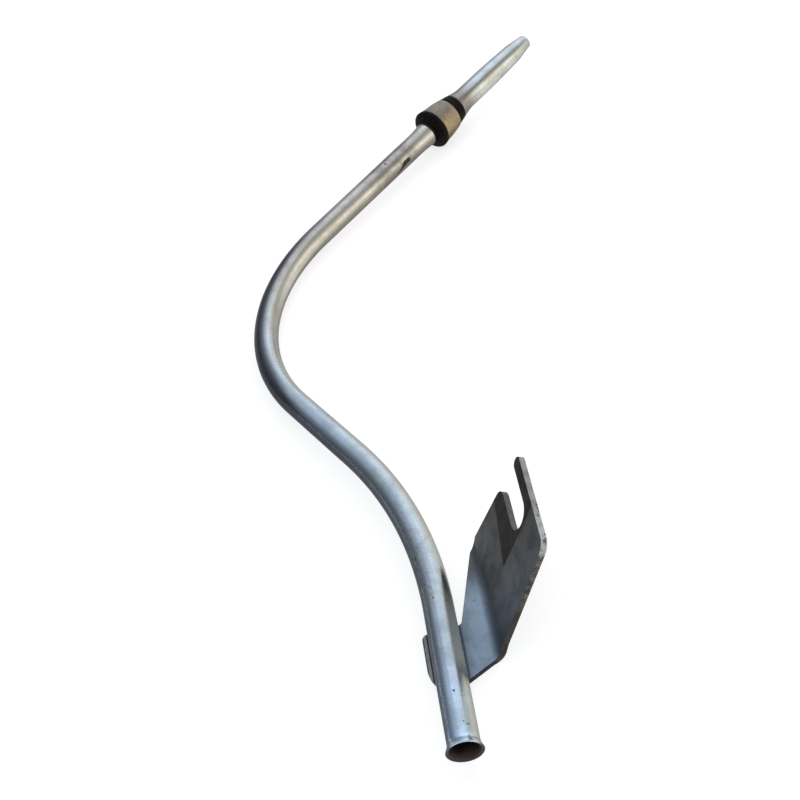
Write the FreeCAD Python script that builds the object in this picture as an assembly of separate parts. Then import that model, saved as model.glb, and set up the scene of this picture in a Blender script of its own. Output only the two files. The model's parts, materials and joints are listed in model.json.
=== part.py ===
import FreeCAD, Part
import os
from math import cos, radians, sin, sqrt, tan

from FreeCAD import Placement, Rotation, Vector

# Oil dipstick tube: a bent steel guide tube with a belled mouth and a swaged nose,
# a sealing collar between two rubber rings, and a folded bracket with an open slot.
# All lengths are millimetres and all angles degrees.

# Guide tube, from the mouth to the nose
tube_diameter = 10.0
tube_wall = 0.9
mouth_run = 50.5
first_bend_radius = 158.5
first_bend_angle = 29.1
middle_run = 40.7
second_bend_radius = 80.7
second_bend_angle = 78.25
block_run = 151.9

# Belled mouth
bell_diameter = 11.8
bell_length = 3.4

# Swaged nose: a long slight taper, then a short steep one
lead_taper_length = 20.0
lead_taper_diameter = 9.2
nose_length = 10.0
nose_diameter = 6.4

# Spigot: the sized end that enters the engine block, past a flared shoulder that holds the seals
spigot_length = 55.2
spigot_diameter = 10.5
shoulder_diameter = 13.0
shoulder_length = 8.0

# Sealing collar on the block run, against the shoulder
lower_seal_length = 3.8
lower_seal_diameter = 15.0
collar_length = 9.9
collar_diameter = 18.2
collar_far_diameter = 15.4
collar_crown = 0.2
upper_seal_length = 7.4
upper_seal_diameter = 18.8
upper_seal_heel_diameter = 18.4
upper_seal_lip_radius = 1.2
upper_seal_dish = 4.0
lip_facets = 5

# Bracket: a pad under the tube, a fold, and a flange with an open slot
plate_thickness = 2.0
pad_start = 25.0
pad_length = 21.4
pad_left_reach = 8.3
pad_near_radius = 5.0
pad_far_radius = 1.8
pad_toe_offset = 2.0
gusset_offset = 5.3
gusset_radius = 1.5
fold_offset = 14.6
fold_angle = 55.0
fold_inner_radius = 3.5
fold_facets = 8
fold_near_end = 30.0
fold_far_end = 73.0
flange_start = 31.3
flange_toe_height = 4.5
flange_toe_rise = 1.2
flange_toe_radius = 4.0
flange_skew = 8.0
flange_height = 41.5
flange_corner_radius = 4.5
far_edge = 77.6
slot_width = 10.5
slot_depth = 21.4
outer_prong_width = 4.3
outer_tip_radius = 1.9
inner_tip_radius = 2.4

# Brazed seams along both sides of the tube, in the groove over the pad
seam_root = 1.2
seam_width = 2.9
seam_toe = 0.4
seam_end_margin = 2.2

# Levelling of the part on the three places that it lies on
levelling_passes = 6
shortest_edge = 1e-6

tube_radius = tube_diameter / 2
bore_radius = tube_radius - tube_wall
upward = Vector(0, 0, 1)


def heading(angle):
    """Direction in the tube's plane, turned left from +Y."""
    return Vector(-sin(radians(angle)), cos(radians(angle)), 0)


def edge(*points):
    """Line through two points, or arc through three."""
    if len(points) == 2:
        return Part.LineSegment(*points).toShape()
    return Part.Arc(*points).toShape()


def ring_of_lines(points):
    """Closed outline of straight lines through the points in turn."""
    return list(zip(points, points[1:] + points[:1]))


def turned(outline, start, angle):
    """Solid of revolution; the outline's (radius, station) points come two to a line, three to an arc."""
    edges = []
    for points in outline:
        edges.append(edge(*[Vector(radius, station, 0) for radius, station in points]))
    solid = Part.Face(Part.Wire(edges)).revolve(Vector(), Vector(0, 1, 0), 360)
    solid.Placement = Placement(start, Rotation(upward, angle))
    return solid


def tube_section(start, angle):
    """Ring-shaped section of the tube, square to its heading."""
    outer = Part.Wire(Part.makeCircle(tube_radius, start, heading(angle)))
    bore = Part.Wire(Part.makeCircle(bore_radius, start, heading(angle)))
    return Part.Face([outer, bore])


def rounded_face(corners):
    """Flat face through (x, y, radius) corners, each rounded by its own radius."""
    joins = []
    for index, (x, y, radius) in enumerate(corners):
        corner = Vector(x, y, 0)
        before = Vector(*corners[index - 1][:2], 0) - corner
        after = Vector(*corners[(index + 1) % len(corners)][:2], 0) - corner
        before.normalize()
        after.normalize()
        half_angle = before.getAngle(after) / 2
        inward = (before + after).normalize()
        setback = radius / tan(half_angle)
        middle = corner + inward * (radius / sin(half_angle) - radius)
        joins.append((corner + before * setback, middle, corner + after * setback))
    edges = []
    for (start, middle, end), (next_start, _, _) in zip(joins, joins[1:] + joins[:1]):
        if start.distanceToPoint(end) > shortest_edge:
            edges.append(edge(start, middle, end))
        if end.distanceToPoint(next_start) > shortest_edge:
            edges.append(edge(end, next_start))
    return Part.Face(Part.Wire(edges))


def bell_end():
    """Straight run at the mouth, with its end belled outwards."""
    bell_radius = bell_diameter / 2
    bell_growth = bell_radius - tube_radius
    # The bell starts along the tube and opens as it nears the rim
    quarter_growth = bell_growth / 4
    inner_rim = bell_radius - tube_wall
    half_length = bell_length / 2
    return turned(
        [
            ((inner_rim, 0), (bell_radius, 0)),
            ((bell_radius, 0), (tube_radius + quarter_growth, half_length), (tube_radius, bell_length)),
            ((tube_radius, bell_length), (tube_radius, mouth_run)),
            ((tube_radius, mouth_run), (bore_radius, mouth_run)),
            ((bore_radius, mouth_run), (bore_radius, bell_length)),
            ((bore_radius, bell_length), (bore_radius + quarter_growth, half_length), (inner_rim, 0)),
        ],
        Vector(),
        0,
    )


def block_end(start, angle):
    """Straight run that enters the engine block, swaged down to an open nose at its end."""
    nose_start = block_run - nose_length
    taper_start = nose_start - lead_taper_length
    shoulder_start = block_run - spigot_length
    shoulder_end = shoulder_start + shoulder_length
    spigot_radius = spigot_diameter / 2
    swaged = [
        (spigot_radius, shoulder_end),
        (spigot_radius, taper_start),
        (lead_taper_diameter / 2, nose_start),
        (nose_diameter / 2, block_run),
    ]
    shoulder = [(tube_radius, shoulder_start), (shoulder_diameter / 2, shoulder_start)]
    outside = [(tube_radius, 0)] + shoulder + swaged
    swaged_bore = [(radius - tube_wall, station) for radius, station in reversed(swaged)]
    inside = swaged_bore + [(bore_radius, shoulder_start), (bore_radius, 0)]
    return turned(ring_of_lines(outside + inside), start, angle)


def guide_tube():
    """Whole tube, its second bend, and where its block run starts and heads."""
    first_start = heading(0) * mouth_run
    first_centre = first_start + heading(90) * first_bend_radius
    first_bend = tube_section(first_start, 0).revolve(first_centre, upward, first_bend_angle)
    middle_start = first_centre + heading(first_bend_angle - 90) * first_bend_radius
    second_start = middle_start + heading(first_bend_angle) * middle_run
    middle = tube_section(middle_start, first_bend_angle).extrude(second_start - middle_start)
    second_centre = second_start + heading(first_bend_angle - 90) * second_bend_radius
    second_section = tube_section(second_start, first_bend_angle)
    second_bend = second_section.revolve(second_centre, -upward, second_bend_angle)
    block_angle = first_bend_angle - second_bend_angle
    block_start = second_centre + heading(block_angle + 90) * second_bend_radius
    tube = bell_end().fuse([first_bend, middle, second_bend, block_end(block_start, block_angle)])
    return tube, second_bend, block_start, block_angle


def seals_and_collar(block_start, block_angle):
    """Upper rubber ring, metal collar and lower rubber ring, end to end round the block run."""
    lower_start = block_run - spigot_length - lower_seal_length
    collar_start = lower_start - collar_length
    upper_start = collar_start - upper_seal_length
    along = heading(block_angle)

    # The upper ring is dished round the tube, with a rounded lip at its free end and a heel on the collar
    lip_middle = upper_seal_diameter / 2 - upper_seal_lip_radius
    lip = []
    for step in range(lip_facets + 1):
        sweep = radians(180 * step / lip_facets)
        radius = lip_middle - upper_seal_lip_radius * cos(sweep)
        lip.append((radius, upper_seal_lip_radius * (1 - sin(sweep))))
    upper_outline = [(tube_radius, upper_seal_dish)] + lip + [
        (upper_seal_heel_diameter / 2, upper_seal_length),
        (tube_radius, upper_seal_length),
    ]
    upper_seal = turned(ring_of_lines(upper_outline), block_start + along * upper_start, block_angle)

    near_radius = collar_diameter / 2
    far_radius = collar_far_diameter / 2
    collar_outline = [
        (tube_radius, 0),
        (near_radius, 0),
        ((near_radius + far_radius) / 2 + collar_crown, collar_length / 2),
        (far_radius, collar_length),
        (tube_radius, collar_length),
    ]
    collar = turned(ring_of_lines(collar_outline), block_start + along * collar_start, block_angle)

    lower_outline = [
        (tube_radius, 0),
        (lower_seal_diameter / 2, 0),
        (shoulder_diameter / 2, lower_seal_length),
        (tube_radius, lower_seal_length),
    ]
    lower_seal = turned(ring_of_lines(lower_outline), block_start + along * lower_start, block_angle)
    return upper_seal, collar, lower_seal


def mounting_bracket():
    """Folded plate: the pad under the tube, the rounded fold, and the flange with its open slot."""
    pad_top = -tube_radius
    fold_setback = fold_inner_radius * tan(radians(fold_angle / 2))
    fold_line = fold_offset - fold_setback
    pad_end = pad_start + pad_length

    pad = rounded_face(
        [
            (-pad_left_reach, pad_start, pad_near_radius),
            (pad_toe_offset, pad_start, 0),
            (fold_line, fold_near_end, 0),
            (fold_line, fold_far_end, 0),
            (gusset_offset, pad_end, gusset_radius),
            (-pad_left_reach, pad_end, pad_far_radius),
        ]
    ).extrude(upward * -plate_thickness)
    pad.Placement = Placement(Vector(0, 0, pad_top), Rotation())

    # The cut ends of the fold slant from the pad's edges to the flange's
    fold_sections = []
    for step in range(fold_facets + 1):
        share = step / fold_facets
        turn = radians(fold_angle * share)
        near_end = fold_near_end + (flange_start - fold_near_end) * share
        far_end = fold_far_end + (far_edge - fold_far_end) * share
        corners = []
        for radius, station in (
            (fold_inner_radius, near_end),
            (fold_inner_radius, far_end),
            (fold_inner_radius + plate_thickness, far_end),
            (fold_inner_radius + plate_thickness, near_end),
        ):
            height = pad_top + fold_inner_radius - radius * cos(turn)
            corners.append(Vector(fold_line + radius * sin(turn), station, height))
        fold_sections.append(Part.makePolygon(corners + corners[:1]))
    fold = Part.makeLoft(fold_sections, True, True)

    slot_outer_side = flange_height - outer_prong_width
    slot_inner_side = slot_outer_side - slot_width
    slot_end = far_edge - slot_depth
    flange_toe = flange_start + flange_toe_rise
    outer_tip = min(outer_tip_radius, outer_prong_width / 2)
    flange = rounded_face(
        [
            (fold_setback, flange_start, 0),
            (flange_toe_height, flange_toe, flange_toe_radius),
            (flange_height, flange_toe + flange_skew, flange_corner_radius),
            (flange_height, far_edge, outer_tip),
            (slot_outer_side, far_edge, outer_tip),
            (slot_outer_side, slot_end, slot_width / 2),
            (slot_inner_side, slot_end, slot_width / 2),
            (slot_inner_side, far_edge, inner_tip_radius),
            (fold_setback, far_edge, 0),
        ]
    ).extrude(upward * -plate_thickness)
    flange.Placement = Placement(Vector(fold_offset, 0, pad_top), Rotation(Vector(0, 1, 0), -fold_angle))
    return pad.fuse([fold, flange]).removeSplitter()


def braze_seams():
    """Fillets of braze in the two grooves between the tube and the pad."""
    def groove_point(offset):
        return Vector(offset, 0, -sqrt(tube_radius**2 - offset**2))

    middle = (seam_root + seam_width) / 2
    root_foot = Vector(seam_root, 0, -tube_radius)
    toe_foot = Vector(seam_width + seam_toe, 0, -tube_radius)
    section = Part.Face(
        Part.Wire(
            [
                edge(root_foot, toe_foot),
                edge(toe_foot, groove_point(seam_width)),
                edge(groove_point(seam_width), groove_point(middle), groove_point(seam_root)),
                edge(groove_point(seam_root), root_foot),
            ]
        )
    )
    right_seam = section.extrude(Vector(0, pad_length - 2 * seam_end_margin, 0))
    right_seam.translate(Vector(0, pad_start + seam_end_margin, 0))
    left_seam = right_seam.mirror(Vector(), Vector(1, 0, 0))
    return Part.makeCompound([right_seam, left_seam])


def lowest_point(shape):
    """Point of the shape that a floor below it would touch first."""
    span = 4 * block_run
    floor = Part.makePlane(span, span, Vector(-span / 2, -span / 2, -span))
    _, touching, _ = shape.distToShape(floor)
    return touching[0][0]


def level(feet):
    """Turn that brings the lowest points of the three feet to one height."""
    turn = Placement()
    for _ in range(levelling_passes):
        first, second, third = [lowest_point(foot.transformed(turn.toMatrix())) for foot in feet]
        floor_normal = (second - first).cross(third - first)
        if floor_normal.z < 0:
            floor_normal = -floor_normal
        turn = Placement(Vector(), Rotation(floor_normal, upward)).multiply(turn)
    return turn


tube, second_bend, block_start, block_angle = guide_tube()
upper_seal, collar, lower_seal = seals_and_collar(block_start, block_angle)
bracket = mounting_bracket()
pieces = {
    "guide_tube": tube,
    "mounting_bracket": bracket,
    "braze_seams": braze_seams(),
    "upper_seal": upper_seal,
    "stop_collar": collar,
    "lower_seal": lower_seal,
}

# The part lies on its bracket, its upper seal and its second bend, over the middle of its box
resting_turn = level([bracket, upper_seal, second_bend])
laid_out = Part.makeCompound(list(pieces.values())).transformed(resting_turn.toMatrix())
box = laid_out.optimalBoundingBox(False)
to_origin = Vector(-(box.XMin + box.XMax) / 2, -(box.YMin + box.YMax) / 2, -box.ZMin)
resting_place = Placement(to_origin, Rotation()).multiply(resting_turn)
print("resting matrix", list(resting_place.Matrix.A))
print("box", box.XLength, box.YLength, box.ZLength)

os.makedirs("parts", exist_ok=True)
for name, piece in pieces.items():
    piece.Placement = resting_place.multiply(piece.Placement)
    piece.exportStep(f"parts/{name}.step")
    print(name, "volume", round(piece.Volume, 2), "valid", piece.isValid(), "solids", len(piece.Solids))
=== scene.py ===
import json
from math import atan2, cos, hypot, pi, radians, sin, tan

import bmesh
import bpy
from mathutils import Matrix, Vector
from mathutils.geometry import delaunay_2d_cdt


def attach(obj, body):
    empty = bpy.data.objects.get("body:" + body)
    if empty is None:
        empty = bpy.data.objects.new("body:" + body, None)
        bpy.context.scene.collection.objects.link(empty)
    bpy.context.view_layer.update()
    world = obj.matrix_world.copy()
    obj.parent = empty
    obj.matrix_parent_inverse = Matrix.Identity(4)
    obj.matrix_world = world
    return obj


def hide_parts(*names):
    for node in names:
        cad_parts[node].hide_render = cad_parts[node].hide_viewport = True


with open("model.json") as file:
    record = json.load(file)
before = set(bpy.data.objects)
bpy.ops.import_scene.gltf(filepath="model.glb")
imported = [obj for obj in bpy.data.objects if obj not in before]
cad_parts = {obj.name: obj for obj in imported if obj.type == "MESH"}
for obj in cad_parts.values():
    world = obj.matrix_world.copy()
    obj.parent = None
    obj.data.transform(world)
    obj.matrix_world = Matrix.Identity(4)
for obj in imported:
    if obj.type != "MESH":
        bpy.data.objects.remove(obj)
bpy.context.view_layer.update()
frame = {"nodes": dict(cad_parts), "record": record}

mm = 0.001

# Sizes of the tube in millimetres, from its mouth to its nose
tubeSizes = {
    "radius": 5, "wall": 0.9, "mouthRun": 50.5, "firstRadius": 158.5, "firstAngle": 29.1,
    "middleRun": 40.7, "secondRadius": 80.7, "secondAngle": 78.25, "blockRun": 151.9,
    "bellRadius": 5.9, "bellLength": 3.4, "flareRadius": 5.75, "flareLength": 10,
    "spigot": 55.2, "spigotRadius": 5.25, "shoulderRadius": 6.5, "shoulderLength": 8,
    "shoulderCurve": 1.5, "leadTaper": 20, "leadRadius": 4.6, "noseLength": 10,
    "noseRadius": 3.2, "lip": 0.3, "segments": 88,
    "step": 1.8,  # longest gap between rings
    "bellSteps": 9, "shoulderSteps": 10, "lipSteps": 5,
}

# The tube's own axes: mouth at the origin, +Y along the mouth run, +Z square to the bends
mounts = {mount["name"]: mount for mount in frame["record"]["mounts"]}
alongMouth = -Vector(mounts["dipstick_mouth"]["axis"]).normalized()
planeNormal = Vector(mounts["block_spigot"]["axis"]).cross(alongMouth).normalized()
toSide = alongMouth.cross(planeNormal)
mouthBack = (tubeSizes["bellLength"] + tubeSizes["mouthRun"]) / 2 * mm
mouthPoint = Vector(mounts["dipstick_mouth"]["pos_m"]) - alongMouth * mouthBack
turnToPart = Matrix((toSide, alongMouth, planeNormal)).transposed()
toPart = Matrix.Translation(mouthPoint) @ (turnToPart * mm).to_4x4()


def heading(angle):
    return Vector((-sin(radians(angle)), cos(radians(angle)), 0))


firstLength = radians(tubeSizes["firstAngle"]) * tubeSizes["firstRadius"]
secondLength = radians(tubeSizes["secondAngle"]) * tubeSizes["secondRadius"]
blockStart = tubeSizes["mouthRun"] + firstLength + tubeSizes["middleRun"] + secondLength
tubeEnd = blockStart + tubeSizes["blockRun"]


def pathAt(station):
    # centre point and heading of the tube at a distance from its mouth
    sizes = tubeSizes
    left = station - sizes["mouthRun"]
    if left <= 0:
        return heading(0) * station, 0.0
    centre = heading(0) * sizes["mouthRun"] + heading(90) * sizes["firstRadius"]
    angle = sizes["firstAngle"] * min(left / firstLength, 1)
    point = centre + heading(angle - 90) * sizes["firstRadius"]
    left -= firstLength
    if left <= 0:
        return point, angle
    point = point + heading(angle) * min(left, sizes["middleRun"])
    left -= sizes["middleRun"]
    if left <= 0:
        return point, angle
    centre = point + heading(angle - 90) * sizes["secondRadius"]
    turned = angle - sizes["secondAngle"] * min(left / secondLength, 1)
    point = centre + heading(turned + 90) * sizes["secondRadius"]
    left -= secondLength
    if left > 0:
        point = point + heading(turned) * left
    return point, turned


def finishPiece(name, bm, materials, node):
    mesh = bpy.data.meshes.new(name)
    bm.to_mesh(mesh)
    bm.free()
    piece = bpy.data.objects.new(name, mesh)
    bpy.context.scene.collection.objects.link(piece)
    for material in materials:
        mesh.materials.append(material)
    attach(piece, "root")
    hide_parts(node)
    return piece


def roundPiece(name, rings, segments, materials, node, uneven=None):
    # rings are (station, radius, material index) round a closed outline;
    # "lay" keeps each point's place round and along the tube for the materials
    bm = bmesh.new()
    lay = bm.verts.layers.float_vector.new("lay")
    loops = []
    for station, radius, _ in rings:
        centre, angle = pathAt(station)
        side = heading(angle - 90)
        loop = []
        for step in range(segments):
            turn = 2 * pi * step / segments
            reach = radius + (uneven(turn, station, radius) if uneven else 0)
            out = side * sin(turn) + Vector((0, 0, 1)) * cos(turn)
            vert = bm.verts.new(toPart @ (centre + out * reach))
            vert[lay] = Vector((reach * sin(turn), station, reach * cos(turn)))
            loop.append(vert)
        loops.append(loop)
    for index, loop in enumerate(loops):
        after = loops[(index + 1) % len(loops)]
        for step in range(segments):
            other = (step + 1) % segments
            face = bm.faces.new((loop[step], loop[other], after[other], after[step]))
            face.material_index = rings[index][2]
            face.smooth = True
    bmesh.ops.recalc_face_normals(bm, faces=bm.faces)
    return finishPiece(name, bm, materials, node)


# Small helpers for shader trees


def feed(tree, value, socket):
    # an output is linked, and a plain value is set on the socket itself
    if isinstance(value, bpy.types.NodeSocket):
        tree.links.new(value, socket)
    else:
        socket.default_value = value


def addNode(tree, kind, values=None, **settings):
    node = tree.nodes.new(kind)
    for key, value in settings.items():
        setattr(node, key, value)
    for key, value in (values or {}).items():
        feed(tree, value, node.inputs[key])
    return node


def calc(tree, operation, first, second=0.0):
    return addNode(tree, "ShaderNodeMath", {0: first, 1: second}, operation=operation).outputs[0]


def plus(tree, first, second):
    return calc(tree, "ADD", first, second)


def minus(tree, first, second):
    return calc(tree, "SUBTRACT", first, second)


def most(tree, first, second):
    return calc(tree, "MAXIMUM", first, second)


def times(tree, first, *others):
    for other in others:
        first = calc(tree, "MULTIPLY", first, other)
    return first


def vectorCalc(tree, operation, first, second=(0, 0, 0)):
    return addNode(tree, "ShaderNodeVectorMath", {0: first, 1: second}, operation=operation).outputs


def stretched(tree, vector, scale):
    return vectorCalc(tree, "MULTIPLY", vector, scale)["Vector"]


def layParts(tree, lay):
    return list(addNode(tree, "ShaderNodeSeparateXYZ", {0: lay}).outputs)


def fade(tree, value, start, end, low=0.0, high=1.0):
    values = {"Value": value, "From Min": start, "From Max": end, "To Min": low, "To Max": high}
    return addNode(tree, "ShaderNodeMapRange", values, interpolation_type="SMOOTHSTEP").outputs["Result"]


def swing(tree, value, amount):
    # a mask from 0 to 1 turned into a shift to either side of nothing
    return times(tree, minus(tree, value, 0.5), amount)


def blendColour(tree, share, first, second, blend="MIX"):
    values = {0: share, 6: first, 7: second}
    return addNode(tree, "ShaderNodeMix", values, data_type="RGBA", blend_type=blend).outputs[2]


def shaded(tree, colour, level):
    grey = addNode(tree, "ShaderNodeCombineColor", {0: level, 1: level, 2: level}).outputs[0]
    return blendColour(tree, 1.0, colour, grey, "MULTIPLY")


def mottled(tree, colour, masks, depths):
    # depths are the lightest level, then how far each mask darkens it
    level = depths[0]
    for mask, depth in zip(masks, depths[1:]):
        level = minus(tree, level, times(tree, mask, depth))
    return shaded(tree, colour, level)


def noiseAt(tree, vector, scale, detail=3.0, roughness=0.55, distortion=0.0):
    values = {"Vector": vector, "Scale": scale, "Detail": detail}
    values.update({"Roughness": roughness, "Distortion": distortion})
    return addNode(tree, "ShaderNodeTexNoise", values).outputs["Fac"]


def newGroup(name, inputs, outputs):
    # inputs give each start value: a number, or three or nothing for a vector
    tree = bpy.data.node_groups.new(name, "ShaderNodeTree")
    for label, start in inputs.items():
        kind = "NodeSocketFloat" if isinstance(start, float) else "NodeSocketVector"
        socket = tree.interface.new_socket(name=label, in_out="INPUT", socket_type=kind)
        if start is not None:
            socket.default_value = start
    for label in outputs:
        tree.interface.new_socket(name=label, in_out="OUTPUT", socket_type="NodeSocketFloat")
    return tree, tree.nodes.new("NodeGroupInput").outputs, tree.nodes.new("NodeGroupOutput").inputs


def useGroup(tree, group, values):
    return addNode(tree, "ShaderNodeGroup", values, node_tree=group).outputs


def newMaterial(name):
    material = bpy.data.materials.new(name)
    material.use_nodes = True
    tree = material.node_tree
    shader = tree.nodes["Principled BSDF"]
    lay = addNode(tree, "ShaderNodeAttribute", attribute_name="lay").outputs["Vector"]
    return material, tree, shader, lay


def fromLook(tree, colours, places):
    # for one material: a named fade of a value, or two of them, and a named colour laid over another
    def at(name, value):
        ends = places[name]
        if not isinstance(ends[0], tuple):
            return fade(tree, value, *ends)
        return times(tree, fade(tree, value, *ends[0]), fade(tree, value, *ends[1]))

    def cover(colour, share, name):
        return blendColour(tree, share, colour, colours[name])

    return at, cover


def finishShader(tree, shader, colour, rough, metal, height, bump):
    # bump is the strength and the depth in metres
    feed(tree, colour, shader.inputs["Base Color"])
    feed(tree, rough, shader.inputs["Roughness"])
    feed(tree, metal, shader.inputs["Metallic"])
    relief = addNode(tree, "ShaderNodeBump", {"Strength": bump[0], "Distance": bump[1], "Height": height})
    tree.links.new(relief.outputs["Normal"], shader.inputs["Normal"])


# How the shared effects are made up
effectLook = {
    "cloudDetail": (4, 0.6, 0.4),  # detail, roughness and distortion of the noise
    "grainScale": 9,  # grain against the clouds it lies in
    "grainDetail": (3, 0.65), "grainEdge": (0.3, 0.7), "wobbleNoise": (1.7, 2),
    "wobble": 0.5,
    "pitLeast": 0.35,  # smallest pit, and how much larger others are, against the size asked for
    "pitMore": 0.8, "pitCore": 0.55, "lineDetail": (3, 0.6), "lineEdge": (0.25, 0.75),
    "markNoise": (2.2, 2), "markSwing": 1.3, "markEdge": (1.15, 0.7),
}


def makeCloudyStain():
    # cloudy stains with a finer grain in them
    inputs = {"Vector": None, "Scale": 0.2, "Low": 0.35, "High": 0.65}
    tree, given, made = newGroup("cloudyStain", inputs, ["Mask", "Grain"])
    clouds = noiseAt(tree, given["Vector"], given["Scale"], *effectLook["cloudDetail"])
    tree.links.new(fade(tree, clouds, given["Low"], given["High"]), made["Mask"])
    fine = times(tree, given["Scale"], effectLook["grainScale"])
    grain = noiseAt(tree, given["Vector"], fine, *effectLook["grainDetail"])
    tree.links.new(fade(tree, grain, *effectLook["grainEdge"]), made["Grain"])
    return tree


def makeScatteredPits():
    # scattered pits, each with its own size
    inputs = {"Vector": None, "Scale": 0.5, "Size": 0.25, "Share": 0.2}
    tree, given, made = newGroup("scatteredPits", inputs, ["Mask"])
    scale, detail = effectLook["wobbleNoise"]
    values = {"Vector": given["Vector"], "Scale": scale, "Detail": detail}
    wobble = addNode(tree, "ShaderNodeTexNoise", values)
    nudge = stretched(tree, wobble.outputs["Color"], (effectLook["wobble"],) * 3)
    place = vectorCalc(tree, "ADD", given["Vector"], nudge)["Vector"]
    cells = addNode(tree, "ShaderNodeTexVoronoi", {"Vector": place, "Scale": given["Scale"]})
    chance = addNode(tree, "ShaderNodeSeparateColor", {0: cells.outputs["Color"]}).outputs
    picked = calc(tree, "LESS_THAN", chance[0], given["Share"])
    larger = plus(tree, times(tree, chance[1], effectLook["pitMore"]), effectLook["pitLeast"])
    size = times(tree, given["Size"], larger)
    spot = fade(tree, cells.outputs["Distance"], size, times(tree, size, effectLook["pitCore"]))
    tree.links.new(times(tree, spot, picked), made["Mask"])
    return tree


def makeDrawnStreaks():
    # fine lines along the second axis, as drawing or rolling leaves them
    inputs = {"Vector": None, "Across": 2.2, "Along": 0.03}
    tree, given, made = newGroup("drawnStreaks", inputs, ["Mask"])
    scales = {0: given["Across"], 1: given["Along"], 2: given["Across"]}
    scale = addNode(tree, "ShaderNodeCombineXYZ", scales).outputs[0]
    lines = noiseAt(tree, stretched(tree, given["Vector"], scale), 1.0, *effectLook["lineDetail"])
    tree.links.new(fade(tree, lines, *effectLook["lineEdge"]), made["Mask"])
    return tree


def makeRaggedMark():
    # one mark with a ragged edge at a given place
    inputs = {"Vector": None, "Place": None, "Size": (1, 1, 1)}
    tree, given, made = newGroup("raggedMark", inputs, ["Mask"])
    away = vectorCalc(tree, "SUBTRACT", given["Vector"], given["Place"])["Vector"]
    away = vectorCalc(tree, "DIVIDE", away, given["Size"])["Vector"]
    length = vectorCalc(tree, "LENGTH", away)["Value"]
    ragged = swing(tree, noiseAt(tree, given["Vector"], *effectLook["markNoise"]), effectLook["markSwing"])
    tree.links.new(fade(tree, plus(tree, length, ragged), *effectLook["markEdge"]), made["Mask"])
    return tree


cloudyStain = makeCloudyStain()
scatteredPits = makeScatteredPits()
drawnStreaks = makeDrawnStreaks()
raggedMark = makeRaggedMark()
print("shared effects ready")

# Zinc on the tube: cool towards the mouth, neutral past the second bend, with painted shade on one flank and
# underneath
zincLook = {
    "mouth": (0.525, 0.66, 0.835, 1),
    "cool": (0.40, 0.465, 0.525, 1),
    "blue": (0.465, 0.555, 0.65, 1),
    "dust": (0.44, 0.485, 0.49, 1),
    "neutral": (0.555, 0.53, 0.495, 1),
    "clean": (0.585, 0.64, 0.685, 1),
    "warm": (0.59, 0.56, 0.47, 1),
    "green": (0.47, 0.53, 0.44, 1),
    "violet": (0.50, 0.47, 0.55, 1),
    "band": (0.34, 0.34, 0.29, 1),
    "cast": (0.40, 0.37, 0.27, 1),
    # brown-grey for soil below the collar, also painted shade on the shoulder and the inner side of the
    # second bend
    "brownGrey": (0.27, 0.245, 0.22, 1),
    # painted shade for the flank away from the bracket, its edge and the underside
    "flankShade": (0.10, 0.105, 0.12, 1),
    "deep": (0.042, 0.043, 0.047, 1),
    "under": (0.17, 0.15, 0.13, 1),
    "pit": (0.03, 0.028, 0.026, 1),
    # soot on the lower lip, also painted shade for the crease round the bell
    "sootAndShade": (0.035, 0.024, 0.019, 1),
    "specularTint": (0.5, 0.52, 0.55, 1),
    "mottle": (1.1, 0.16, 0.12, 0.08), "tintNoise": (0.09, 2.0),
    "patchNoise": (0.75, 4.0, 0.7), "raggedness": 0.12, "chipWobble": 3.0, "warmLeast": 0.5,
    "bandSide": 0.7, "flankWidth": 0.7, "deepEdge": -0.55, "deepShift": 0.12,
    "deepWidth": 0.2, "deepMost": 0.75, "underWidth": 0.5,
    # pits as scale, size, share added on the first bend, share everywhere and depth
    "pits": [(0.9, 0.2, 0.4, 0.02, 0.5), (1.9, 0.3, 0.3, 0.10, 0.22)],
    "markDepth": 0.9, "creaseDepth": 0.4, "roughness": 0.225, "stainRough": 0.10,
    "flankRough": 0.03, "markRough": 0.3, "metallic": 0.97, "markDull": 0.7,
    "dustDull": 0.6, "grainRelief": 0.25, "streakRelief": 0.15, "bump": (0.35, 0.00006),
}

# Where each shade lies. A fade is where it starts and is full, and may go on with its least and most;
# a zone is two fades. Stations and the chip are in millimetres, sides and heights in tube radii.
zincPlaces = {
    "cool": (0, 42), "blue": ((105, 138), (190, 168)), "neutral": (202, 258),
    "clean": (372, 384), "warmSide": (0.35, 0.95), "greenTint": (0.52, 0.75, 0, 0.35),
    "violetTint": (0.48, 0.25, 0, 0.30), "bandEdge": (0.2, 0.04, 0, 0.6),
    "castSide": (0.7, 1, 0, 0.5), "cast": (60, 28), "dust": ((22, 31), (60, 44)),
    "dustSide": (0.25, 0.95), "brownGrey": ((308, 324), (352, 340)),
    "soilStain": (0, 1, 0.45, 0.85), "shoulder": ((393, 382, 0, 0.95), (374, 378)),
    "flankEdge": (156, 190, -0.28, 0.46), "flankShift": (204, 232, 0, 0.13),
    "flank": ((10, 185, 0.45, 0.97), (303, 256)), "deepRun": ((60, 110), (190, 165)),
    "deep": (285, 240), "underEdge": (258, 292, 0.12, 0.34),
    "under": ((210, 245, 0, 0.75), (386, 374)), "bendShade": ((188, 210), (248, 226)),
    "bendShadeSide": (0.4, 0.85, 0, 0.6), "pits": ((45, 60), (110, 80)),
    "patch": (0.48, 0.66, 0, 0.45), "patchSide": (0.25, -0.35),
    "chipTop": (330.5, 336.8, -0.9, 1.45), "chipTopEdge": (0.2, -0.2),
    "chipFoot": (331, 339.8, -1.3, -0.5), "chipFootEdge": (-0.3, 0.2),
    "chipSquareEnd": (340.1, 339.5), "chipPoint": (329.6, 331), "chipSide": (2, 2.6),
    "lip": (0.9, 0.35), "lipHeight": (0.75, 0.1), "crease": ((2.5, 1.7), (0.7, 1.3)),
}

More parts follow.
